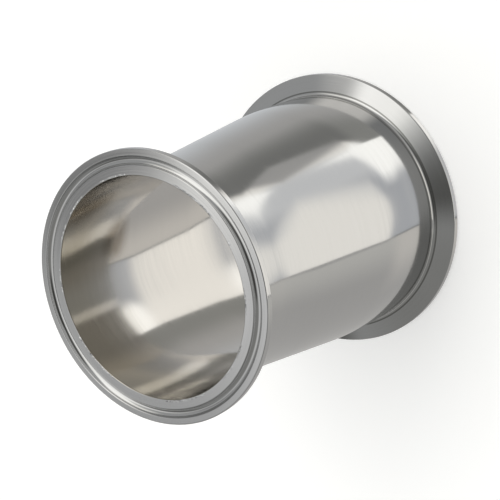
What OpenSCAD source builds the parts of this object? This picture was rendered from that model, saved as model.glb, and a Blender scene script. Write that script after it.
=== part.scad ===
// Sanitary clamp reducer: a cone formed from thin stainless tube, with a turned clamp
// ferrule welded flush to each end. Sizes are in millimetres. The reducer stands on the
// large sealing face, the origin is the centre of that face, and +Z runs along the flow
// axis to the small end.

/* [Small end] */
// Outside diameter of the small tube
small_tube_d = 89; // [82:0.5:91]
// Diameter over the small clamp rim
small_rim_d = 106; // [105:0.5:114]

/* [Large end] */
// Outside diameter of the large tube
large_tube_d = 102; // [96:0.5:104]
// Diameter over the large clamp rim
large_rim_d = 119; // [118:0.5:127]

/* [Wall and length] */
// Wall of the tube, the same from face to face
wall = 1.5; // [1:0.1:2]
// Length over the two sealing faces
overall_l = 132.5; // [110:0.5:200]
// Length of each ferrule, from its sealing face to its weld
ferrule_l = 21.5; // [14:0.5:28]

/* [Cone] */
// Bend radius where the small end opens into the cone
small_bend_r = 240; // [40:5:280]
// Bend radius where the cone runs into the large end
large_bend_r = 220; // [40:5:280]
// Straight stretch between each weld and its bend
weld_lead = 0.6; // [0.2:0.1:4]

/* [Clamp rim] */
// Thickness of the rim at its edge
rim_t = 2.85; // [2.4:0.05:4]
// Slope of the rim's back, which the clamp draws up on
clamp_angle = 20; // [15:1:25]
// Radius in the root between the rim's back and the neck
root_r = 1.6; // [0.8:0.1:3]
// Radius on the two edges of the rim
rim_edge_r = 0.4; // [0.2:0.05:0.8]
// Radius on the edge of the bore at the sealing face
bore_edge_r = 0.3; // [0.1:0.05:0.5]

/* [Gasket groove] */
// Edge of the rim to the middle of the groove
groove_inset = 4.4; // [3.8:0.1:4.8]
// Depth of the groove
groove_depth = 1.6; // [1:0.1:1.8]
// Radius of the floor of the groove
groove_floor_r = 1.75; // [1.7:0.05:2.2]
// Radius that eases each lip of the groove
groove_lip_r = 0.3; // [0.2:0.1:0.8]

/* [Hidden] */

$fn = 180;
// Segments on the long bend arcs, which show only a few degrees of a large circle
bend_fn = 1440;
// Overlap of a cutting or filling shape past the surface that it works on
past = 1;

// Radial step and axial run of the cone between its two straight leads
cone_step = (large_tube_d - small_tube_d) / 2;
cone_run = overall_l - 2 * ferrule_l - 2 * weld_lead;
// The two bends together take up at most this much radius before they meet,
// and the straight flank keeps a share of the run
bend_room = (cone_run * cone_run / cone_step + cone_step) / 2;
bend_share = 0.95;
bend_fit = min(1, bend_share * bend_room / (small_bend_r + large_bend_r));
small_bend = small_bend_r * bend_fit;
large_bend = large_bend_r * bend_fit;
bends = small_bend + large_bend;
// Half angle of the cone, at which its straight flank touches both bends
half_tangent = (cone_run - sqrt(cone_run * cone_run - (2 * bends - cone_step) * cone_step))
    / (2 * bends - cone_step);
cone_angle = 2 * atan(half_tangent);
flank_l = (cone_run - bends * sin(cone_angle)) / cos(cone_angle);

ferrule_colour = [0.78, 0.79, 0.80];
cone_colour = [0.70, 0.71, 0.71];

// A stretch of tube wall seen in section: it climbs along +Y with its outside at X = 0
module straight_wall(length) {
    translate([-wall, 0]) square([wall, length]);
}

// The part of a ring between the X axis and a line turned up from it by an angle
module ring_sector(inner_r, outer_r, angle) {
    reach = outer_r + past;
    intersection() {
        difference() {
            circle(outer_r, $fn = bend_fn);
            circle(inner_r, $fn = bend_fn);
        }
        square(reach);
        rotate(angle) translate([0, -reach]) square(reach);
    }
}

// A bend of the wall towards the flow axis, and the frame of what follows it
module bend_in(radius, angle) {
    translate([-radius, 0]) {
        ring_sector(radius - wall, radius, angle);
        rotate(angle) translate([radius, 0]) children();
    }
}

// A bend of the wall back along the flow axis, and the frame of what follows it
module bend_out(radius, angle) {
    translate([radius, 0]) {
        mirror([1, 0]) ring_sector(radius, radius + wall, angle);
        rotate(-angle) translate([-radius, 0]) children();
    }
}

// The cone's wall in section, from the large weld up to the small weld
module cone_section() {
    intersection() {
        translate([large_tube_d / 2, ferrule_l]) {
            straight_wall(weld_lead);
            translate([0, weld_lead])
                bend_in(large_bend, cone_angle) {
                    straight_wall(flank_l);
                    translate([0, flank_l])
                        bend_out(small_bend, cone_angle)
                            straight_wall(weld_lead + past);
                }
        }
        translate([0, ferrule_l]) square([large_tube_d, overall_l - 2 * ferrule_l]);
    }
}

// What a radius takes off a corner, or fills into one: the corner is at the origin, its
// sides open by an angle, and the middle between them points along a direction
module corner_round(radius, direction, opening) {
    half = opening / 2;
    side = radius / tan(half);
    centre = [radius / sin(half), 0];
    rotate(direction) difference() {
        polygon([
            [-past, 0],
            [side * cos(half), -side * sin(half)],
            centre,
            [side * cos(half), side * sin(half)]
        ]);
        translate(centre) circle(radius);
    }
}

// The gasket groove in section, at a sealing face on Y = 0 with the metal above it: a
// round floor, and a lip on each side that rolls over into the face
module groove_cut() {
    floor_y = groove_depth - groove_floor_r;
    lip_x = sqrt(pow(groove_floor_r + groove_lip_r, 2) - pow(groove_lip_r - floor_y, 2));
    translate([0, floor_y]) circle(groove_floor_r);
    difference() {
        polygon([
            [-lip_x, -past],
            [lip_x, -past],
            [lip_x, groove_lip_r],
            [0, floor_y],
            [-lip_x, groove_lip_r]
        ]);
        for (side = [-1, 1])
            translate([side * lip_x, groove_lip_r]) circle(groove_lip_r);
    }
}

// A clamp ferrule in section, with its sealing face on Y = 0 and its weld end above
module ferrule_section(rim_r, neck_r) {
    bore_r = neck_r - wall;
    back_y = rim_t + (rim_r - neck_r) * tan(clamp_angle);
    difference() {
        union() {
            polygon([
                [bore_r, 0],
                [rim_r, 0],
                [rim_r, rim_t],
                [neck_r, back_y],
                [neck_r, ferrule_l],
                [bore_r, ferrule_l]
            ]);
            translate([neck_r, back_y])
                corner_round(root_r, (90 - clamp_angle) / 2, 90 + clamp_angle);
        }
        translate([rim_r, 0])
            corner_round(rim_edge_r, 135, 90);
        translate([rim_r, rim_t])
            corner_round(rim_edge_r, 180 + (90 - clamp_angle) / 2, 90 + clamp_angle);
        translate([bore_r, 0])
            corner_round(bore_edge_r, 45, 90);
        translate([rim_r - groove_inset, 0])
            groove_cut();
    }
}

module ferrule(rim_d, tube_d) {
    color(ferrule_colour) rotate_extrude() ferrule_section(rim_d / 2, tube_d / 2);
}

module large_ferrule() {
    ferrule(large_rim_d, large_tube_d);
}

module small_ferrule() {
    translate([0, 0, overall_l]) mirror([0, 0, 1]) ferrule(small_rim_d, small_tube_d);
}

module reducer_cone() {
    color(cone_colour) rotate_extrude() cone_section();
}

small_ferrule();
reducer_cone();
large_ferrule();
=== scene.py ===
"""Sanitary clamp reducer in stainless steel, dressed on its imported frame.

The reducer stands on its large sealing face, the flow axis is +Z and the small end is up.
Each of its three welded pieces is spun from a section drawn like a turner's, with true arcs.
The studio is a white floor, a sky of soft boxes, and a low sheet that only polished metal
sees, because the photographed reducer hangs clear of any table and mirrors what lies below.
"""

import logging
import math
from dataclasses import dataclass, field
from enum import Enum
from typing import Any, Callable, Optional

import bpy
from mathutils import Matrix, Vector


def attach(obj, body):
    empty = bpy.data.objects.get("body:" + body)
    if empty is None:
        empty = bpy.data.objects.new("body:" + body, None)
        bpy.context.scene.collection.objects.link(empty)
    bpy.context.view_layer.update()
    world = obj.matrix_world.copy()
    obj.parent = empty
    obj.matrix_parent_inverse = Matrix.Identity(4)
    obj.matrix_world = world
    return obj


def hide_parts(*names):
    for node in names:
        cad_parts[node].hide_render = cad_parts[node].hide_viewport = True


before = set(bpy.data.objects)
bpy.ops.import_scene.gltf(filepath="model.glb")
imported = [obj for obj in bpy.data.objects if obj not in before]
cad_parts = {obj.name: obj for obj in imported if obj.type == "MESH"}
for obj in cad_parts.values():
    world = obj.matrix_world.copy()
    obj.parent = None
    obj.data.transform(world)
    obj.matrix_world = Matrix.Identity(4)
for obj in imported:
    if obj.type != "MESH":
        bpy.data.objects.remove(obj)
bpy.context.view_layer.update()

LOG = logging.getLogger("reducer")
MM = 0.001
MICRON = 1e-6
TURN = 2.0 * math.pi

# Driving sizes in millimetres, the same as in the part's source
SMALL_TUBE_D = 89.0
SMALL_RIM_D = 106.0
LARGE_TUBE_D = 102.0
LARGE_RIM_D = 119.0
WALL = 1.5
OVERALL_L = 132.5
FERRULE_L = 21.5
# Facets round the flow axis
ROUND_FACETS = 384

# Vertices this near, in metres, are one
WELD_GAP = 2e-6
# Edges that turn by more than this, in degrees, stay sharp
SHARP_EDGE = 35.0


def linear(code: str) -> tuple[float, float, float, float]:
    """Turns an sRGB hex colour into linear values.

    Args:
        code: six hex digits, with or without a leading hash.

    Returns:
        Linear red, green, blue and an alpha of 1.
    """
    digits = code.lstrip("#")
    parts = [int(digits[i : i + 2], 16) / 255.0 for i in (0, 2, 4)]
    made = [p / 12.92 if p <= 0.04045 else ((p + 0.055) / 1.055) ** 2.4 for p in parts]
    return (made[0], made[1], made[2], 1.0)


def add_node(
    tree: bpy.types.NodeTree,
    kind: str,
    inputs: Optional[dict[Any, Any]] = None,
    **settings: Any,
) -> bpy.types.Node:
    """Adds a node with its settings, values and links.

    Args:
        tree: the node tree that takes the node.
        kind: Blender's name for the node type.
        inputs: for each input, by name or index, a value or the output that feeds it.
        **settings: attributes of the node, such as its operation.

    Returns:
        The new node.
    """
    made = tree.nodes.new(kind)
    for key, value in settings.items():
        setattr(made, key, value)
    for key, value in (inputs or {}).items():
        if isinstance(value, bpy.types.NodeSocket):
            tree.links.new(value, made.inputs[key])
        else:
            made.inputs[key].default_value = value
    return made


def empty_material(name: str) -> bpy.types.Material:
    """Makes a material whose node tree is still empty.

    Args:
        name: its name.

    Returns:
        The new material.
    """
    made = bpy.data.materials.new(name)
    made.use_nodes = True
    made.node_tree.nodes.clear()
    return made


class Slot(Enum):
    """The record's material slots."""

    TURNED = "turned_stainless"
    SATIN = "satin_stainless"


class End(Enum):
    """The two ends of the reducer, by the way that their ferrule faces along Z."""

    LARGE = 1.0
    SMALL = -1.0


class Finish(Enum):
    """The finishes of the steel, by their place among a piece's materials."""

    TURNED = 0
    POLISHED = 1
    BORE = 2
    ROOT = 3


@dataclass
class Outline:
    """A closed section in the XZ plane, drawn by extruding and spinning one vertex.

    Attributes:
        name: name of the object that is drawn.
        start: first point, as radius and height in millimetres.
        flip: -1 draws the section upside down, for a ferrule that faces the other way.
        lift: height in millimetres that the section's own zero is put at.
        hold: length in millimetres of the short facet at each end of a straight run, which
            keeps the shading of the run flat up to the arc beside it.
        least: shortest run in millimetres that is drawn at all.
    """

    name: str
    start: tuple[float, float]
    flip: float = 1.0
    lift: float = 0.0
    hold: float = 0.04
    least: float = 1e-6
    at: tuple[float, float] = field(init=False)

    def __post_init__(self) -> None:
        """Adds the first vertex and leaves it selected in edit mode."""
        self.at = self.start
        bpy.ops.object.select_all(action="DESELECT")
        bpy.ops.mesh.primitive_plane_add(size=MM, location=self.point(self.start))
        bpy.context.object.name = self.name
        bpy.context.object.data.name = self.name
        bpy.ops.object.transform_apply(location=True, rotation=True, scale=True)
        bpy.ops.object.mode_set(mode="EDIT")
        bpy.ops.mesh.select_mode(type="VERT")
        bpy.ops.mesh.select_all(action="SELECT")
        bpy.ops.mesh.merge(type="CENTER")

    def point(self, place: tuple[float, float]) -> tuple[float, float, float]:
        """Gives the place in metres of a point of the section."""
        return (place[0] * MM, 0.0, (self.lift + self.flip * place[1]) * MM)

    def step(self, to: tuple[float, float]) -> None:
        """Extrudes the last vertex to a point of the section.

        Args:
            to: the point, as radius and height in millimetres.
        """
        here, there = self.point(self.at), self.point(to)
        move = (there[0] - here[0], 0.0, there[2] - here[2])
        bpy.ops.mesh.extrude_region_move(TRANSFORM_OT_translate={"value": move})
        self.at = to

    def line(self, to: tuple[float, float]) -> "Outline":
        """Draws a straight run, with a holding facet at each end where there is room.

        Args:
            to: the end of the run, as radius and height in millimetres.

        Returns:
            The outline, so that moves can be chained.
        """
        here = self.at
        length = math.dist(here, to)
        if length > 4.0 * self.hold:
            for run in (self.hold, length - self.hold):
                share = run / length
                self.step(tuple(h + (t - h) * share for h, t in zip(here, to)))
        if length > self.least:
            self.step(to)
        return self

    def arc(self, centre: tuple[float, float], degrees: float, steps: int) -> "Outline":
        """Spins the last vertex about a centre of the section.

        Args:
            centre: the arc's centre, as radius and height in millimetres.
            degrees: how far it turns, positive from +X towards +Z in the section.
            steps: number of facets.

        Returns:
            The outline, so that moves can be chained.
        """
        bpy.ops.mesh.spin(
            steps=steps,
            angle=math.radians(degrees * self.flip),
            center=self.point(centre),
            axis=(0.0, 1.0, 0.0),
        )
        turn = math.radians(degrees)
        dx, dz = self.at[0] - centre[0], self.at[1] - centre[1]
        self.at = (
            centre[0] + dx * math.cos(turn) - dz * math.sin(turn),
            centre[1] + dx * math.sin(turn) + dz * math.cos(turn),
        )
        return self

    def revolve(self, steps: int) -> bpy.types.Object:
        """Closes the section and spins it round the flow axis into a solid.

        Args:
            steps: number of facets round the axis.

        Returns:
            The finished object, at the origin and smooth shaded.
        """
        self.line(self.start)
        bpy.ops.mesh.select_all(action="SELECT")
        bpy.ops.mesh.remove_doubles(threshold=WELD_GAP)
        bpy.ops.mesh.select_all(action="SELECT")
        bpy.ops.mesh.spin(steps=steps, angle=TURN, center=(0.0, 0.0, 0.0), axis=(0.0, 0.0, 1.0))
        bpy.ops.mesh.select_all(action="SELECT")
        bpy.ops.mesh.remove_doubles(threshold=WELD_GAP)
        bpy.ops.mesh.normals_make_consistent(inside=False)
        bpy.ops.object.mode_set(mode="OBJECT")
        bpy.ops.object.shade_smooth_by_angle(angle=math.radians(SHARP_EDGE))
        return bpy.context.object


def dress(
    piece: bpy.types.Object,
    materials: tuple[bpy.types.Material, ...],
    finish_at: Callable[[float, float, float], Finish],
) -> None:
    """Gives each face the finish that a rule picks for it.

    Args:
        piece: a turned or formed piece.
        materials: the materials, in the order of Finish.
        finish_at: gives the finish from a face's radius and height in millimetres, and
            from how far it faces away from the flow axis, from -1 to 1.
    """
    for material in materials:
        piece.data.materials.append(material)
    for face in piece.data.polygons:
        x, y, z = face.center
        radius = math.hypot(x, y)
        outward = (face.normal.x * x + face.normal.y * y) / radius
        face.material_index = finish_at(radius / MM, z / MM, outward).value


@dataclass(frozen=True)
class SteelFinish:
    """Austenitic stainless steel, the common 304 and 316 grades, worked round the axis.

    Turning, polishing and honing all leave marks that run round the flow axis. The eye gets
    reflections that are smeared across the marks and crisp along them, with faint rings.
    A real feed mark is about 0.1 mm wide and a polishing line finer still. A pixel of the
    photograph spans 0.35 mm, so the marks are drawn as coarse as they need to show.

    Attributes:
        name: name of the material, for how the surface was made.
        colour: sRGB hex of the bare metal.
        stain: sRGB hex of its slightly duller streaks.
        roughness: the middle spread of its gloss.
        smear: anisotropy of the gloss, across the marks.
        ring_mm: width of a mark in millimetres.
        run_mm: length of a mark round the axis in millimetres.
        ring_depth_um: depth of the marks in micrometres.
        ring_gloss: how much the roughness varies from mark to mark.
        wave_mm: width of the broad unevenness left by forming, in millimetres.
        wave_depth_um: its depth in micrometres.
        ring_span: values between which the noise of the marks mostly lies.
        tint: sRGB hex of painted shade that the metal comes to at one end, or None.
        tint_run: heights in millimetres between which that painted shade comes in.
        nick_r_mm: radius within which the edge of the bore has nicks, or None.
        nick_patches_per_m: how close the nicked patches lie, here about 9 mm apart.
        nick_span: values of their noise between which a patch fades in.
        nicks_per_m: how close the nicks in a patch lie, here about 0.7 mm apart.
        nick_depth_mm: depth of a nick in millimetres.
    """

    name: str
    colour: str
    stain: str
    roughness: float
    smear: float
    ring_mm: float
    run_mm: float
    ring_depth_um: float
    ring_gloss: float
    wave_mm: float
    wave_depth_um: float
    ring_span: tuple[float, float] = (0.3, 0.7)
    tint: Optional[str] = None
    tint_run: tuple[float, float] = (0.0, 1.0)
    nick_r_mm: Optional[float] = None
    nick_patches_per_m: float = 110.0
    nick_span: tuple[float, float] = (0.55, 0.6)
    nicks_per_m: float = 1400.0
    nick_depth_mm: float = 0.4

    def build(self) -> bpy.types.Material:
        """Builds the material.

        Returns:
            The finished material.
        """
        made = empty_material(self.name)
        tree = made.node_tree
        place = add_node(tree, "ShaderNodeTexCoord").outputs["Object"]
        parts = add_node(tree, "ShaderNodeSeparateXYZ", {0: place}).outputs
        flat = add_node(tree, "ShaderNodeCombineXYZ", {"X": parts[0], "Y": parts[1]}).outputs[0]
        radius = add_node(
            tree, "ShaderNodeVectorMath", {0: flat}, operation="LENGTH"
        ).outputs["Value"]
        rings = self.rings(tree, flat, radius, parts[2])
        gloss = add_node(
            tree,
            "ShaderNodeMapRange",
            {
                "Value": rings,
                "From Min": self.ring_span[0],
                "From Max": self.ring_span[1],
                "To Min": self.roughness - self.ring_gloss,
                "To Max": self.roughness + self.ring_gloss,
            },
        ).outputs["Result"]
        normal = self.bumps(tree, place, rings)
        if self.nick_r_mm is not None:
            normal = self.nick(tree, place, radius, normal)
        around = add_node(
            tree, "ShaderNodeTangent", direction_type="RADIAL", axis="Z"
        ).outputs["Tangent"]
        # A quarter turn puts the wider spread across the marks.
        shader = add_node(
            tree,
            "ShaderNodeBsdfPrincipled",
            {
                "Base Color": self.tone(tree, rings, parts[2]),
                "Metallic": 1.0,
                "Roughness": gloss,
                "Anisotropic": self.smear,
                "Anisotropic Rotation": 0.25,
                "Tangent": around,
                "Normal": normal,
            },
        )
        add_node(tree, "ShaderNodeOutputMaterial", {"Surface": shader.outputs["BSDF"]})
        return made

    def rings(
        self,
        tree: bpy.types.NodeTree,
        flat: bpy.types.NodeSocket,
        radius: bpy.types.NodeSocket,
        height: bpy.types.NodeSocket,
    ) -> bpy.types.NodeSocket:
        """Lays marks that run round the axis.

        Radius plus height climbs on a flat face, on a cylinder and on the clamp slope, so
        one measure lays rings on all of them. It is laid as the noise's third axis, and a
        mark is as long round the axis as the first two axes are slow.

        Args:
            tree: the node tree of the material.
            flat: the place across the flow axis.
            radius: its distance from the axis.
            height: the place along the axis.

        Returns:
            The noise of the marks, from 0 to 1.
        """
        along = add_node(tree, "ShaderNodeMath", {0: radius, 1: height}, operation="ADD").outputs[0]
        slow = add_node(
            tree,
            "ShaderNodeVectorMath",
            {0: flat, "Scale": self.ring_mm / self.run_mm},
            operation="SCALE",
        ).outputs[0]
        slow_parts = add_node(tree, "ShaderNodeSeparateXYZ", {0: slow}).outputs
        lathe = add_node(
            tree,
            "ShaderNodeCombineXYZ",
            {"X": slow_parts[0], "Y": slow_parts[1], "Z": along},
        ).outputs[0]
        return add_node(
            tree,
            "ShaderNodeTexNoise",
            {"Vector": lathe, "Scale": 1.0 / (self.ring_mm * MM), "Detail": 3.0},
        ).outputs["Fac"]

    def tone(
        self,
        tree: bpy.types.NodeTree,
        rings: bpy.types.NodeSocket,
        height: bpy.types.NodeSocket,
    ) -> bpy.types.NodeSocket:
        """Colours the metal, with its streaks and any painted shade towards one end.

        Args:
            tree: the node tree of the material.
            rings: the noise of the marks.
            height: the place along the axis.

        Returns:
            The colour.
        """
        metal = add_node(
            tree,
            "ShaderNodeMix",
            {"Factor": rings, 6: linear(self.colour), 7: linear(self.stain)},
            data_type="RGBA",
        ).outputs[2]
        if self.tint is None:
            return metal
        # Painted shade: the metal darkens and warms towards one end, standing in for darker
        # reflections there
        mouth_shade = add_node(
            tree,
            "ShaderNodeMapRange",
            {
                "Value": height,
                "From Min": self.tint_run[0] * MM,
                "From Max": self.tint_run[1] * MM,
            },
            interpolation_type="SMOOTHSTEP",
        ).outputs["Result"]
        return add_node(
            tree,
            "ShaderNodeMix",
            {"Factor": mouth_shade, 6: metal, 7: linear(self.tint)},
            data_type="RGBA",
        ).outputs[2]

    def bumps(
        self,
        tree: bpy.types.NodeTree,
        place: bpy.types.NodeSocket,
        rings: bpy.types.NodeSocket,
    ) -> bpy.types.NodeSocket:
        """Lays the marks over the broad waves that forming leaves.

        Args:
            tree: the node tree of the material.
            place: the place on the object.
            rings: the noise of the marks.

        Returns:
            The bumped normal.
        """
        waves = add_node(
            tree,
            "ShaderNodeTexNoise",
            {"Vector": place, "Scale": 1.0 / (self.wave_mm * MM), "Detail": 1.0},
        ).outputs["Fac"]
        broad = add_node(
            tree,
            "ShaderNodeBump",
            {"Height": waves, "Strength": 1.0, "Distance": self.wave_depth_um * MICRON},
        ).outputs["Normal"]
        return add_node(
            tree,
            "ShaderNodeBump",
            {
                "Height": rings,
                "Strength": 1.0,
                "Distance": self.ring_depth_um * MICRON,
                "Normal": broad,
            },
        ).outputs["Normal"]

    def nick(
        self,
        tree: bpy.types.NodeTree,
        place: bpy.types.NodeSocket,
        radius: bpy.types.NodeSocket,
        normal: bpy.types.NodeSocket,
    ) -> bpy.types.NodeSocket:
        """Nicks the edge of the bore in a few places, as handling does.

        Args:
            tree: the node tree of the material.
            place: the place on the object.
            radius: its distance from the axis.
            normal: the normal so far.

        Returns:
            The normal with the nicks.
        """
        at_edge = add_node(
            tree,
            "ShaderNodeMath",
            {0: radius, 1: self.nick_r_mm * MM},
            operation="LESS_THAN",
        ).outputs[0]
        here = add_node(
            tree,
            "ShaderNodeTexNoise",
            {"Vector": place, "Scale": self.nick_patches_per_m, "Detail": 0.0},
        ).outputs["Fac"]
        sparse = add_node(
            tree,
            "ShaderNodeMapRange",
            {
                "Value": here,
                "From Min": self.nick_span[0],
                "From Max": self.nick_span[1],
            },
        ).outputs["Result"]
        cover = add_node(
            tree, "ShaderNodeMath", {0: at_edge, 1: sparse}, operation="MULTIPLY"
        ).outputs[0]
        dents = add_node(
            tree,
            "ShaderNodeTexNoise",
            {"Vector": place, "Scale": self.nicks_per_m, "Detail": 0.0},
        ).outputs["Fac"]
        return add_node(
            tree,
            "ShaderNodeBump",
            {
                "Height": dents,
                "Strength": cover,
                "Distance": self.nick_depth_mm * MM,
                "Normal": normal,
            },
        ).outputs["Normal"]


STEEL: dict[Finish, SteelFinish] = {
    # Faced and bored on a lathe: marks that show as rings, and a wide smear across them
    Finish.TURNED: SteelFinish(
        name="turned_stainless_steel",
        colour="cacaca",
        stain="c2c2c2",
        roughness=0.1,
        smear=0.6,
        ring_mm=0.45,
        run_mm=60.0,
        ring_depth_um=7.0,
        ring_gloss=0.04,
        wave_mm=14.0,
        wave_depth_um=5.0,
        nick_r_mm=43.9,
    ),
    # Tube polished outside with a belt: near mirror, with a trace of fine lines
    Finish.POLISHED: SteelFinish(
        name="polished_stainless_steel",
        colour="c8c8c8",
        stain="c5c5c4",
        roughness=0.095,
        smear=0.5,
        ring_mm=0.7,
        run_mm=22.0,
        ring_depth_um=0.45,
        ring_gloss=0.025,
        wave_mm=16.0,
        wave_depth_um=10.0,
    ),
    # Bore honed with a flap wheel: finer lines all round it, and a warmer shine that darkens
    # towards the small end, as painted shade standing in for the darker, warmer surroundings it
    # reflects there
    Finish.BORE: SteelFinish(
        name="brushed_bore_stainless_steel",
        colour="cfcdca",
        stain="cccac7",
        roughness=0.12,
        smear=0.6,
        ring_mm=0.6,
        run_mm=26.0,
        ring_depth_um=0.8,
        ring_gloss=0.03,
        wave_mm=18.0,
        wave_depth_um=9.0,
        # Painted shade towards the mouth of the small end
        tint="aaa59a",
        tint_run=(92.0, 126.0),
    ),
    # Foot of the clamp slope: a thin dull line, darker and a little rougher than the steel beside
    # it
    Finish.ROOT: SteelFinish(
        name="dull_root_stainless_steel",
        colour="929290",
        stain="868684",
        roughness=0.16,
        smear=0.5,
        ring_mm=0.3,
        run_mm=30.0,
        ring_depth_um=1.0,
        ring_gloss=0.04,
        wave_mm=14.0,
        wave_depth_um=5.0,
    ),
}


@dataclass
class Ferrule:
    """A turned clamp ferrule, with a flat sealing face, a gasket groove and a clamp rim.

    Sizes are in millimetres and angles in degrees. Depths run from the sealing face
    towards the weld. Steps count the facets of an arc.
    """

    node: str
    end: End
    tube_r: float
    rim_r: float
    lift: float
    rim_t: float = 2.85
    clamp_slope: float = 20.0
    root_r: float = 1.6
    rim_edge_r: float = 0.4
    bore_edge_r: float = 0.3
    groove_inset: float = 4.4
    groove_depth: float = 1.6
    groove_floor_r: float = 1.75
    groove_lip_r: float = 0.3
    dull_w: float = 0.7
    bore_edge_steps: int = 6
    lip_steps: int = 9
    floor_steps: int = 28
    front_edge_steps: int = 8
    back_edge_steps: int = 7
    root_steps: int = 12
    # A face nearer to the sealing face than this lies on it
    face_gap: float = 0.01
    # A face that looks inwards by more than this is part of the bore
    inward: float = -0.2

    @property
    def bore_r(self) -> float:
        """Radius of the bore."""
        return self.tube_r - WALL

    @property
    def groove_r(self) -> float:
        """Radius of the middle of the gasket groove."""
        return self.rim_r - self.groove_inset

    @property
    def floor_z(self) -> float:
        """Depth of the centre of the groove's floor, which lies in front of the face."""
        return self.groove_depth - self.groove_floor_r

    @property
    def half_groove(self) -> float:
        """Half the width of the groove, to where its lips run out into the face."""
        reach = self.groove_floor_r + self.groove_lip_r
        return math.sqrt(reach**2 - (self.groove_lip_r - self.floor_z) ** 2)

    @property
    def corner_z(self) -> float:
        """Depth at which the clamp slope, drawn on, would meet the neck."""
        slope = math.radians(self.clamp_slope)
        return self.rim_t + (self.rim_r - self.tube_r) * math.tan(slope)

    @property
    def foot(self) -> tuple[float, float]:
        """Radius and depth of the point where the clamp slope runs into the root."""
        back = self.on_slope(self.side(self.root_r))
        return (self.tube_r + back[0], self.corner_z - back[1])

    def side(self, radius: float) -> float:
        """Gives how much of each side a radius takes up at a corner of the slope."""
        return radius / math.tan(math.radians((90.0 + self.clamp_slope) / 2.0))

    def on_slope(self, length: float) -> tuple[float, float]:
        """Splits a length on the clamp slope into its run in radius and in depth."""
        slope = math.radians(self.clamp_slope)
        return (length * math.cos(slope), length * math.sin(slope))

    def section(self) -> Outline:
        """Draws the section, from the weld down the bore, over the face and back.

        Returns:
            The outline, ready to be closed and spun.
        """
        edge, lip, middle = self.rim_edge_r, self.groove_lip_r, self.groove_r
        wide, nose, foot = self.half_groove, self.side(self.rim_edge_r), self.foot
        rise = (lip - self.floor_z) / (self.groove_floor_r + lip)
        lean = math.degrees(math.acos(rise))
        dull = self.on_slope(self.dull_w)
        out = Outline(
            f"{self.node}_turned",
            (self.bore_r, FERRULE_L),
            flip=self.end.value,
            lift=self.lift,
        )
        out.line((self.bore_r, self.bore_edge_r))
        bore_edge = (self.bore_r + self.bore_edge_r, self.bore_edge_r)
        out.arc(bore_edge, 90.0, self.bore_edge_steps)
        out.line((middle - wide, 0.0))
        out.arc((middle - wide, lip), lean, self.lip_steps)
        out.arc((middle, self.floor_z), -2.0 * lean, self.floor_steps)
        out.arc((middle + wide, lip), lean, self.lip_steps)
        out.line((self.rim_r - edge, 0.0))
        out.arc((self.rim_r - edge, edge), 90.0, self.front_edge_steps)
        out.line((self.rim_r, self.rim_t - nose))
        back_edge = (self.rim_r - edge, self.rim_t - nose)
        out.arc(back_edge, 90.0 - self.clamp_slope, self.back_edge_steps)
        out.line((foot[0] + dull[0], foot[1] - dull[1]))
        out.line(foot)
        root = (self.tube_r + self.root_r, self.corner_z + self.side(self.root_r))
        out.arc(root, self.clamp_slope - 90.0, self.root_steps)
        return out.line((self.tube_r, FERRULE_L))

    def finish_at(self, radius: float, height: float, outward: float) -> Finish:
        """Picks the finish of a face.

        The foot of the clamp slope is dull, the bore is brushed, and the neck, its root
        and the groove are polished. The rest is as turned.

        Args:
            radius: radius of the face in millimetres.
            height: its height in millimetres.
            outward: how far it faces away from the flow axis, from -1 to 1.

        Returns:
            The finish.
        """
        depth = abs(height - self.lift)
        behind = depth > self.rim_t
        root_to, dull_to = self.foot[0], self.foot[0] + self.on_slope(self.dull_w)[0]
        if behind and root_to < radius < dull_to:
            return Finish.ROOT
        if outward < self.inward and radius < self.bore_r + self.bore_edge_r:
            return Finish.BORE
        over_groove = abs(radius - self.groove_r) < self.half_groove
        in_groove = over_groove and self.face_gap < depth < self.rim_t
        on_neck = behind and radius <= root_to
        return Finish.POLISHED if in_groove or on_neck else Finish.TURNED

    def build(self, materials: tuple[bpy.types.Material, ...]) -> bpy.types.Object:
        """Spins the section and dresses it.

        Args:
            materials: the materials, in the order of Finish.

        Returns:
            The finished ferrule, which replaces its CAD node.
        """
        made = self.section().revolve(ROUND_FACETS)
        dress(made, materials, self.finish_at)
        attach(made, "root")
        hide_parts(self.node)
        return made


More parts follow.
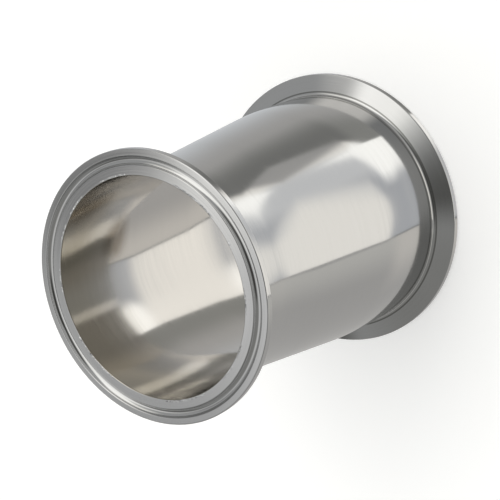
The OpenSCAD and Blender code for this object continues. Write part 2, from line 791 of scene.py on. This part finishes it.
@dataclass
class Cone:
    """The formed cone of thin tube between the two welds.

    Sizes are in millimetres. The lead is the straight stretch between a weld and its
    bend, and bend_steps counts the facets of a bend.
    """

    node: str = "reducer_cone"
    large_r: float = LARGE_TUBE_D / 2.0
    small_r: float = SMALL_TUBE_D / 2.0
    low: float = FERRULE_L
    high: float = OVERALL_L - FERRULE_L
    lead: float = 0.6
    large_bend: float = 220.0
    small_bend: float = 240.0
    bend_steps: int = 24

    @property
    def angle(self) -> float:
        """Works out the lean of the flank that touches both bends.

        Returns:
            Its angle to the flow axis in degrees.
        """
        step = self.large_r - self.small_r
        run = self.high - self.low - 2 * self.lead
        bends = 2 * (self.large_bend + self.small_bend) - step
        reach = math.sqrt(run * run - bends * step)
        return 2.0 * math.degrees(math.atan((run - reach) / bends))

    def section(self) -> Outline:
        """Draws the section of the wall, up its outside and down its inside.

        Returns:
            The outline, ready to be closed and spun.
        """
        angle, turn = self.angle, math.radians(self.angle)
        sine, cosine = math.sin(turn), math.cos(turn)
        low_z, high_z = self.low + self.lead, self.high - self.lead
        low_c = (self.large_r - self.large_bend, low_z)
        high_c = (self.small_r + self.small_bend, high_z)
        inner_bend = self.large_bend - WALL
        flank_top = (
            high_c[0] - self.small_bend * cosine,
            high_c[1] - self.small_bend * sine,
        )
        inner_foot = (low_c[0] + inner_bend * cosine, low_c[1] + inner_bend * sine)
        out = Outline(f"{self.node}_satin", (self.large_r, self.low))
        out.line((self.large_r, low_z))
        out.arc(low_c, angle, self.bend_steps)
        out.line(flank_top)
        out.arc(high_c, -angle, self.bend_steps)
        out.line((self.small_r, self.high))
        out.line((self.small_r - WALL, self.high))
        out.line((self.small_r - WALL, high_z))
        out.arc(high_c, angle, self.bend_steps)
        out.line(inner_foot)
        out.arc(low_c, -angle, self.bend_steps)
        return out.line((self.large_r - WALL, self.low))

    def finish_at(self, radius: float, height: float, outward: float) -> Finish:
        """Polishes the faces that look outwards and brushes the rest."""
        return Finish.POLISHED if outward > 0.0 else Finish.BORE

    def build(self, materials: tuple[bpy.types.Material, ...]) -> bpy.types.Object:
        """Spins the section and dresses it.

        Args:
            materials: the materials, in the order of Finish.

        Returns:
            The finished cone, which replaces its CAD node.
        """
        made = self.section().revolve(ROUND_FACETS)
        dress(made, materials, self.finish_at)
        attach(made, "root")
        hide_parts(self.node)
        return made


@dataclass(frozen=True)
class Cut:
    """A straight soft edge of a patch on the low sheet.

    Attributes:
        toward: azimuth in degrees that the edge faces, from -Y towards -X.
        at: how far that way the edge lies from the flow axis, in millimetres. The patch
            keeps the side short of it.
        feather: width of the soft edge in millimetres.
    """

    toward: float
    at: float
    feather: float


@dataclass(frozen=True)
class Card:
    """A soft-edged patch of the studio, over a sector of azimuth, a band and its cuts.

    Azimuths are in degrees, from -Y towards -X. On the low sheet the band is a distance
    from the flow axis in millimetres, and in the sky it is an elevation in degrees. An end
    of the band that is None is open. Each feather is the width of a soft edge.
    """

    name: str
    tone: str
    azimuth: Optional[tuple[float, float]] = None
    feather: tuple[float, float] = (1.0, 1.0)
    band: tuple[Optional[float], Optional[float]] = (None, None)
    band_feather: tuple[float, float] = (1.0, 1.0)
    cuts: tuple[Cut, ...] = ()


@dataclass(frozen=True)
class SoftBox:
    """A rectangular soft box far away in the sky, with its sizes and feather in degrees."""

    name: str
    azimuth: float
    elevation: float
    width: float
    height: float
    roll: float
    feather: float
    tone: str


# What the steel mirrors from below: a lit table, walls either side of it and their edges
SHEET_BASE = "949391"
TABLE_EDGE = Cut(126.0, 53.0, 5.0)
TABLE_END = Cut(-90.0, 370.0, 50.0)
WING_CUTS = (Cut(56.0, -61.0, 14.0), Cut(0.0, 298.0, 36.0))
LOW_CARDS: tuple[Card, ...] = (
    Card("right_wall", "a4a6a8", (-180.0, -118.0), (1.0, 50.0)),
    Card("back_white", "ebebeb", (174.0, 190.0), (8.0, 8.0)),
    Card("left_wall", "a9a8a4", (44.0, 60.0), (1.0, 34.0)),
    Card("left_near", "b2afaa", (44.0, 76.0), (1.0, 50.0), (None, 430.0), (1.0, 90.0)),
    Card("table", "dedbd5", (-58.0, 60.0), (2.0, 1.0), cuts=(TABLE_EDGE, TABLE_END)),
    Card(
        "far_shade",
        "b9babb",
        (-58.0, 30.0),
        cuts=(
            Cut(180.0, -400.0, 60.0),
            Cut(23.0, 462.0, 110.0),
            Cut(90.0, 60.0, 120.0),
            TABLE_END,
        ),
    ),
    Card(
        "grey_haze",
        "9ea0a3",
        (-30.0, 60.0),
        band=(296.0, None),
        band_feather=(60.0, 1.0),
        cuts=(TABLE_EDGE, Cut(21.0, 441.0, 40.0), Cut(-90.0, 110.0, 160.0)),
    ),
    Card(
        "hot_spot",
        "f8f7f3",
        (-58.0, 10.0),
        cuts=(
            Cut(0.0, 420.0, 40.0),
            Cut(90.0, -36.0, 130.0),
            Cut(149.0, -306.0, 40.0),
            Cut(-90.0, 328.0, 44.0),
        ),
    ),
    Card("dark_wing", "7b7b78", (-80.0, -20.0), (34.0, 1.0), cuts=WING_CUTS),
    Card(
        "dark_wing_far",
        "6a6a68",
        (-78.0, -20.0),
        (34.0, 1.0),
        (430.0, None),
        (60.0, 1.0),
        WING_CUTS,
    ),
    Card(
        "table_line",
        "6c6e6d",
        band=(None, 455.0),
        band_feather=(1.0, 50.0),
        cuts=(Cut(126.0, 57.0, 6.0), Cut(-54.0, -49.0, 6.0), Cut(180.0, -90.0, 10.0)),
    ),
)

# What the steel mirrors from above: soft boxes, and the dark round the camera. The
# numbers of a box are its azimuth, elevation, width, height, roll and feather.
SKY_BASE = "8b8c8c"
SKY_CARDS: tuple[Card, ...] = (
    Card("left_side", "727270", (20.0, 141.0), (40.0, 40.0), (-3.0, 77.0), (7.0, 39.0)),
    Card("back_light", "c4c4c2", (170.0, 183.0), (6.0, 20.0), (0.0, 40.0), (7.0, 19.0)),
)
SKY_BOXES: tuple[SoftBox, ...] = (
    SoftBox("low_front", 1.0, 14.0, 93.0, 17.0, 1.5, 3.0, "9b9b99"),
    SoftBox("key", -87.0, 76.0, 50.0, 17.0, -54.0, 26.0, "d3d3cf"),
    SoftBox("side_strip", -79.0, 31.0, 39.0, 53.0, 11.0, 15.0, "dfddd8"),
    SoftBox("back_top", 156.0, 67.0, 31.0, 22.0, -23.0, 19.0, "ababaa"),
    SoftBox("right_top", -128.0, 69.0, 62.0, 20.0, 0.0, 10.0, "f0efeb"),
    SoftBox("side_key", -80.0, 48.0, 20.0, 28.0, 0.0, 8.0, "fbfaf7"),
    SoftBox("side_bright", -70.0, 40.0, 22.0, 26.0, 0.0, 6.0, "f8f7f4"),
    SoftBox("side_flag", -102.0, 42.0, 14.0, 14.0, 0.0, 8.0, "a3a3a1"),
    SoftBox("front_shade", -22.0, 46.0, 24.0, 36.0, 0.0, 10.0, "525250"),
    SoftBox("camera_dark", 16.0, 56.0, 35.0, 56.0, 7.0, 14.0, "464644"),
    SoftBox("camera_core", 26.0, 58.0, 30.0, 18.0, 0.0, 7.0, "333332"),
    SoftBox("back_low", 169.0, 62.0, 19.0, 24.0, -13.0, 8.0, "b3b3b3"),
    SoftBox("back_glow", 188.0, 60.0, 9.0, 12.0, 38.0, 4.0, "e6e6e6"),
    SoftBox("back_flag", 195.0, 44.0, 7.0, 16.0, 53.0, 4.0, "717171"),
    SoftBox("back_shade", 156.0, 33.0, 21.0, 22.0, 0.0, 6.0, "565654"),
)
# Shade under the open end, which only the bore looks down through
BORE_SHADE = Card(
    "bore_shade",
    "b6aea4",
    cuts=(Cut(-90.0, -38.0, 14.0), Cut(180.0, 32.0, 14.0), Cut(0.0, 14.0, 14.0)),
)


@dataclass
class Sight:
    """A direction or place that soft patches are laid on: its tree, azimuth and band.

    Attributes:
        tree: the node tree that the patches are made in.
        place: the direction or place itself.
        azimuth: its azimuth in degrees, from -Y towards -X.
        band: its elevation in degrees, or its distance from the axis in millimetres.
        edge_on: cosine of the angle from a soft box's centre past which none of it shows.
    """

    tree: bpy.types.NodeTree
    place: bpy.types.NodeSocket
    azimuth: bpy.types.NodeSocket
    band: bpy.types.NodeSocket
    edge_on: float = 0.05

    @classmethod
    def of_sky(cls, tree: bpy.types.NodeTree) -> "Sight":
        """Reads a direction of the sky.

        Args:
            tree: the node tree of the world.

        Returns:
            The direction, with its elevation as the band.
        """
        place = add_node(tree, "ShaderNodeTexCoord").outputs["Generated"]
        band = add_node(tree, "ShaderNodeSeparateXYZ", {0: place}).outputs[2]
        for operation in ("ARCSINE", "DEGREES"):
            band = add_node(tree, "ShaderNodeMath", {0: band}, operation=operation).outputs[0]
        return cls(tree, place, cls.azimuth_of(tree, place), band)

    @classmethod
    def of_sheet(cls, tree: bpy.types.NodeTree) -> "Sight":
        """Reads a place on a flat stage piece.

        Args:
            tree: the node tree of its material.

        Returns:
            The place in millimetres, with its radius as the band.
        """
        place = add_node(tree, "ShaderNodeNewGeometry").outputs["Position"]
        flat = add_node(
            tree,
            "ShaderNodeVectorMath",
            {0: place, 1: (1.0 / MM, 1.0 / MM, 0.0)},
            operation="MULTIPLY",
        ).outputs[0]
        radius = add_node(
            tree, "ShaderNodeVectorMath", {0: flat}, operation="LENGTH"
        ).outputs["Value"]
        return cls(tree, flat, cls.azimuth_of(tree, place), radius)

    @staticmethod
    def azimuth_of(
        tree: bpy.types.NodeTree, place: bpy.types.NodeSocket
    ) -> bpy.types.NodeSocket:
        """Gives the azimuth of a direction or place.

        Args:
            tree: the node tree.
            place: the direction or place.

        Returns:
            The azimuth in degrees, from -Y towards -X.
        """
        back = add_node(
            tree,
            "ShaderNodeVectorMath",
            {0: place, 1: (-1.0, -1.0, 1.0)},
            operation="MULTIPLY",
        ).outputs[0]
        parts = add_node(tree, "ShaderNodeSeparateXYZ", {0: back}).outputs
        turn = add_node(
            tree, "ShaderNodeMath", {0: parts[0], 1: parts[1]}, operation="ARCTAN2"
        ).outputs[0]
        return add_node(tree, "ShaderNodeMath", {0: turn}, operation="DEGREES").outputs[0]

    def along(self, axis: Vector) -> bpy.types.NodeSocket:
        """Gives how far the place lies along an axis.

        Args:
            axis: the axis, of length 1.

        Returns:
            The distance.
        """
        made = add_node(
            self.tree,
            "ShaderNodeVectorMath",
            {0: self.place, 1: tuple(axis)},
            operation="DOT_PRODUCT",
        )
        return made.outputs["Value"]

    def edge(
        self, value: bpy.types.NodeSocket, at: float, feather: float, rises: bool
    ) -> bpy.types.NodeSocket:
        """Makes the soft edge of a patch.

        Args:
            value: what the edge is measured in.
            at: where the patch is half there.
            feather: how wide the edge is.
            rises: True if the patch lies past it.

        Returns:
            The share of the patch that is there, from 0 to 1.
        """
        made = add_node(
            self.tree,
            "ShaderNodeMapRange",
            {
                "Value": value,
                "From Min": at - feather / 2.0,
                "From Max": at + feather / 2.0,
                "To Min": 0.0 if rises else 1.0,
                "To Max": 1.0 if rises else 0.0,
            },
            interpolation_type="SMOOTHSTEP",
        )
        return made.outputs["Result"]

    def overlap(self, masks: list[bpy.types.NodeSocket]) -> bpy.types.NodeSocket:
        """Keeps what all the masks share.

        Args:
            masks: one or more masks, from 0 to 1.

        Returns:
            Their product.
        """
        shared = masks[0]
        for mask in masks[1:]:
            shared = add_node(
                self.tree, "ShaderNodeMath", {0: shared, 1: mask}, operation="MULTIPLY"
            ).outputs[0]
        return shared

    def card_mask(self, card: Card) -> bpy.types.NodeSocket:
        """Makes the mask of a card.

        Args:
            card: the patch.

        Returns:
            Its cover, from 0 to 1.
        """
        masks = []
        if card.azimuth is not None:
            low, high = card.azimuth
            middle, half = (low + high) / 2.0, (high - low) / 2.0
            turned = add_node(
                self.tree, "ShaderNodeMath", {0: self.azimuth, 1: middle}, operation="SUBTRACT"
            ).outputs[0]
            turned = add_node(
                self.tree, "ShaderNodeMath", {0: turned, 1: 180.0, 2: -180.0}, operation="WRAP"
            ).outputs[0]
            masks.append(self.edge(turned, -half, card.feather[0], True))
            masks.append(self.edge(turned, half, card.feather[1], False))
        for bound, feather, rises in zip(card.band, card.band_feather, (True, False)):
            if bound is not None:
                masks.append(self.edge(self.band, bound, feather, rises))
        for cut in card.cuts:
            turn = math.radians(cut.toward)
            reach = self.along(Vector((-math.sin(turn), -math.cos(turn), 0.0)))
            masks.append(self.edge(reach, cut.at, cut.feather, False))
        return self.overlap(masks)

    def box_mask(self, box: SoftBox) -> bpy.types.NodeSocket:
        """Makes the mask of a soft box as a flat rectangle seen from the object.

        Args:
            box: the soft box.

        Returns:
            Its cover, from 0 to 1.
        """
        turn, rise = math.radians(box.azimuth), math.radians(box.elevation)
        roll, level = math.radians(box.roll), math.cos(rise)
        ahead = Vector((-math.sin(turn) * level, -math.cos(turn) * level, math.sin(rise)))
        across = Vector((-math.cos(turn), math.sin(turn), 0.0))
        up = ahead.cross(across) * -1.0
        sides = (
            across * math.cos(roll) + up * math.sin(roll),
            up * math.cos(roll) - across * math.sin(roll),
        )
        front = self.along(ahead)
        in_front, clear = (
            add_node(
                self.tree, "ShaderNodeMath", {0: front, 1: self.edge_on}, operation=operation
            ).outputs[0]
            for operation in ("GREATER_THAN", "MAXIMUM")
        )
        masks = [in_front]
        for side, size in zip(sides, (box.width, box.height)):
            angle = add_node(
                self.tree, "ShaderNodeMath", {0: self.along(side), 1: clear}, operation="DIVIDE"
            ).outputs[0]
            for operation in ("ARCTANGENT", "DEGREES", "ABSOLUTE"):
                angle = add_node(
                    self.tree, "ShaderNodeMath", {0: angle}, operation=operation
                ).outputs[0]
            masks.append(self.edge(angle, size / 2.0, box.feather, False))
        return self.overlap(masks)

    def lay(self, under: Any, mask: bpy.types.NodeSocket, tone: str) -> bpy.types.NodeSocket:
        """Lays a tone over what is there already.

        Args:
            under: the colour so far, or the output that gives it.
            mask: where the tone goes.
            tone: sRGB hex of how the patch looks in the steel.

        Returns:
            The new colour.
        """
        made = add_node(
            self.tree,
            "ShaderNodeMix",
            {"Factor": mask, 6: under, 7: linear(tone)},
            data_type="RGBA",
        )
        return made.outputs[2]


@dataclass
class Studio:
    """White floor, sky of soft boxes, low sheet for the metal, lamp and camera.

    The tones of the sky and the sheet are given as they look in the steel, which returns
    a share of them, so their light is stronger by gain. Lengths are in metres, and the
    camera's angles in degrees.
    """

    floor_r: float = 9.0
    floor_z: float = -0.0001
    floor_tone: str = "f4f4f3"
    floor_lift: float = 0.27
    sheet_r: float = 9.0
    sheet_z: float = -0.43
    shade_r: float = 0.049
    shade_z: float = -0.0005
    disc_facets: int = 96
    gain: float = 1.7
    lamp_z: float = 1.6
    lamp_size: float = 2.4
    lamp_watts: float = 14.0
    camera_place: tuple[float, float, float] = (-0.0017, -0.3788, 0.5497)
    camera_tilt: float = 38.16
    camera_turn: float = -113.69
    camera_lens_mm: float = 109.4
    camera_sensor_mm: float = 36.0
    camera_clip: tuple[float, float] = (0.01, 100.0)

    def build(self) -> None:
        """Builds the whole studio."""
        self.build_sky()
        self.build_floor()
        self.build_sheet()
        self.build_bore_shade()
        self.build_lamp()
        self.build_camera()
        bpy.context.scene.view_settings.view_transform = "Standard"

    def build_sky(self) -> None:
        """Makes the world: soft boxes for the object, and plain white for the camera."""
        world = bpy.data.worlds.new("soft_box_sky")
        bpy.context.scene.world = world
        world.use_nodes = True
        tree = world.node_tree
        tree.nodes.clear()
        sight = Sight.of_sky(tree)
        tone: Any = linear(SKY_BASE)
        for card in SKY_CARDS:
            tone = sight.lay(tone, sight.card_mask(card), card.tone)
        for box in SKY_BOXES:
            tone = sight.lay(tone, sight.box_mask(box), box.tone)
        sky = add_node(tree, "ShaderNodeBackground", {"Color": tone, "Strength": self.gain})
        white = add_node(tree, "ShaderNodeBackground", {"Color": linear("ffffff"), "Strength": 1.0})
        seen = add_node(tree, "ShaderNodeLightPath").outputs["Is Camera Ray"]
        both = add_node(
            tree,
            "ShaderNodeMixShader",
            {0: seen, 1: sky.outputs[0], 2: white.outputs[0]},
        )
        add_node(tree, "ShaderNodeOutputWorld", {"Surface": both.outputs[0]})

    def disc(self, name: str, radius: float, height: float) -> bpy.types.Object:
        """Makes a flat round stage piece.

        Args:
            name: its name.
            radius: its radius in metres.
            height: its height in metres.

        Returns:
            The piece.
        """
        bpy.ops.object.select_all(action="DESELECT")
        bpy.ops.mesh.primitive_circle_add(
            vertices=self.disc_facets,
            radius=radius,
            fill_type="NGON",
            location=(0.0, 0.0, height),
        )
        made = bpy.context.object
        made.name = made.data.name = name
        return made

    def build_floor(self) -> None:
        """Lays the matt white floor, which metal looks through to the low sheet."""
        floor = self.disc("white_floor", self.floor_r, self.floor_z)
        made = empty_material("matt_white_floor")
        tree = made.node_tree
        matt = add_node(tree, "ShaderNodeBsdfDiffuse", {"Color": linear(self.floor_tone)})
        seen = add_node(tree, "ShaderNodeLightPath").outputs["Is Camera Ray"]
        lift = add_node(
            tree, "ShaderNodeMath", {0: seen, 1: self.floor_lift}, operation="MULTIPLY"
        ).outputs[0]
        glow = add_node(tree, "ShaderNodeEmission", {"Color": linear("ffffff"), "Strength": lift})
        both = add_node(tree, "ShaderNodeAddShader", {0: matt.outputs[0], 1: glow.outputs[0]})
        add_node(tree, "ShaderNodeOutputMaterial", {"Surface": both.outputs[0]})
        floor.data.materials.append(made)
        floor.visible_glossy = False

    def build_sheet(self) -> None:
        """Lays the low sheet that the standing metal mirrors, unseen by all else."""
        sheet = self.disc("low_sheet", self.sheet_r, self.sheet_z)
        made = empty_material("low_sheet_light")
        made.cycles.emission_sampling = "NONE"
        tree = made.node_tree
        sight = Sight.of_sheet(tree)
        tone: Any = linear(SHEET_BASE)
        for card in LOW_CARDS:
            tone = sight.lay(tone, sight.card_mask(card), card.tone)
        light = add_node(tree, "ShaderNodeEmission", {"Color": tone, "Strength": self.gain})
        add_node(tree, "ShaderNodeOutputMaterial", {"Surface": light.outputs[0]})
        sheet.data.materials.append(made)
        self.show_to_metal_only(sheet)

    def build_bore_shade(self) -> None:
        """Lays a clear disc under the object, tinted where the bore looks down on shade."""
        disc = self.disc("bore_shade", self.shade_r, self.shade_z)
        made = empty_material("bore_shade_tint")
        tree = made.node_tree
        sight = Sight.of_sheet(tree)
        tone = sight.lay(linear("ffffff"), sight.card_mask(BORE_SHADE), BORE_SHADE.tone)
        clear = add_node(tree, "ShaderNodeBsdfTransparent", {"Color": tone})
        add_node(tree, "ShaderNodeOutputMaterial", {"Surface": clear.outputs[0]})
        disc.data.materials.append(made)
        self.show_to_metal_only(disc)

    @staticmethod
    def show_to_metal_only(piece: bpy.types.Object) -> None:
        """Hides a stage piece from every ray but the mirrored ones.

        Args:
            piece: the stage piece.
        """
        piece.visible_camera = False
        piece.visible_diffuse = False
        piece.visible_transmission = False
        piece.visible_volume_scatter = False
        piece.visible_shadow = False

    def build_lamp(self) -> None:
        """Hangs a broad soft lamp over the floor, which polished metal doesn't mirror."""
        bpy.ops.object.light_add(type="AREA", location=(0.0, 0.0, self.lamp_z))
        lamp = bpy.context.object
        lamp.name = lamp.data.name = "overhead_lamp"
        lamp.data.shape = "DISK"
        lamp.data.size = self.lamp_size
        lamp.data.energy = self.lamp_watts
        lamp.visible_glossy = False

    def build_camera(self) -> None:
        """Puts the camera at the photograph's place and angle."""
        bpy.ops.object.camera_add(location=self.camera_place)
        camera = bpy.context.object
        camera.name = camera.data.name = "photo_camera"
        camera.rotation_mode = "ZYX"
        tilt, turn = math.radians(self.camera_tilt), math.radians(self.camera_turn)
        camera.rotation_euler = (tilt, 0.0, turn)
        camera.data.sensor_width = self.camera_sensor_mm
        camera.data.lens = self.camera_lens_mm
        camera.data.clip_start, camera.data.clip_end = self.camera_clip
        bpy.context.scene.camera = camera


def main() -> None:
    """Builds the reducer and its studio."""
    logging.basicConfig(level=logging.INFO, format="%(name)s: %(message)s")
    materials = tuple(STEEL[finish].build() for finish in Finish)
    parts = (
        Ferrule("large_ferrule", End.LARGE, LARGE_TUBE_D / 2.0, LARGE_RIM_D / 2.0, 0.0),
        Cone(),
        Ferrule("small_ferrule", End.SMALL, SMALL_TUBE_D / 2.0, SMALL_RIM_D / 2.0, OVERALL_L),
    )
    for part in parts:
        piece = part.build(materials)
        LOG.info("%s has %d faces", piece.name, len(piece.data.polygons))
    Studio().build()


if __name__ == "__main__":
    main()
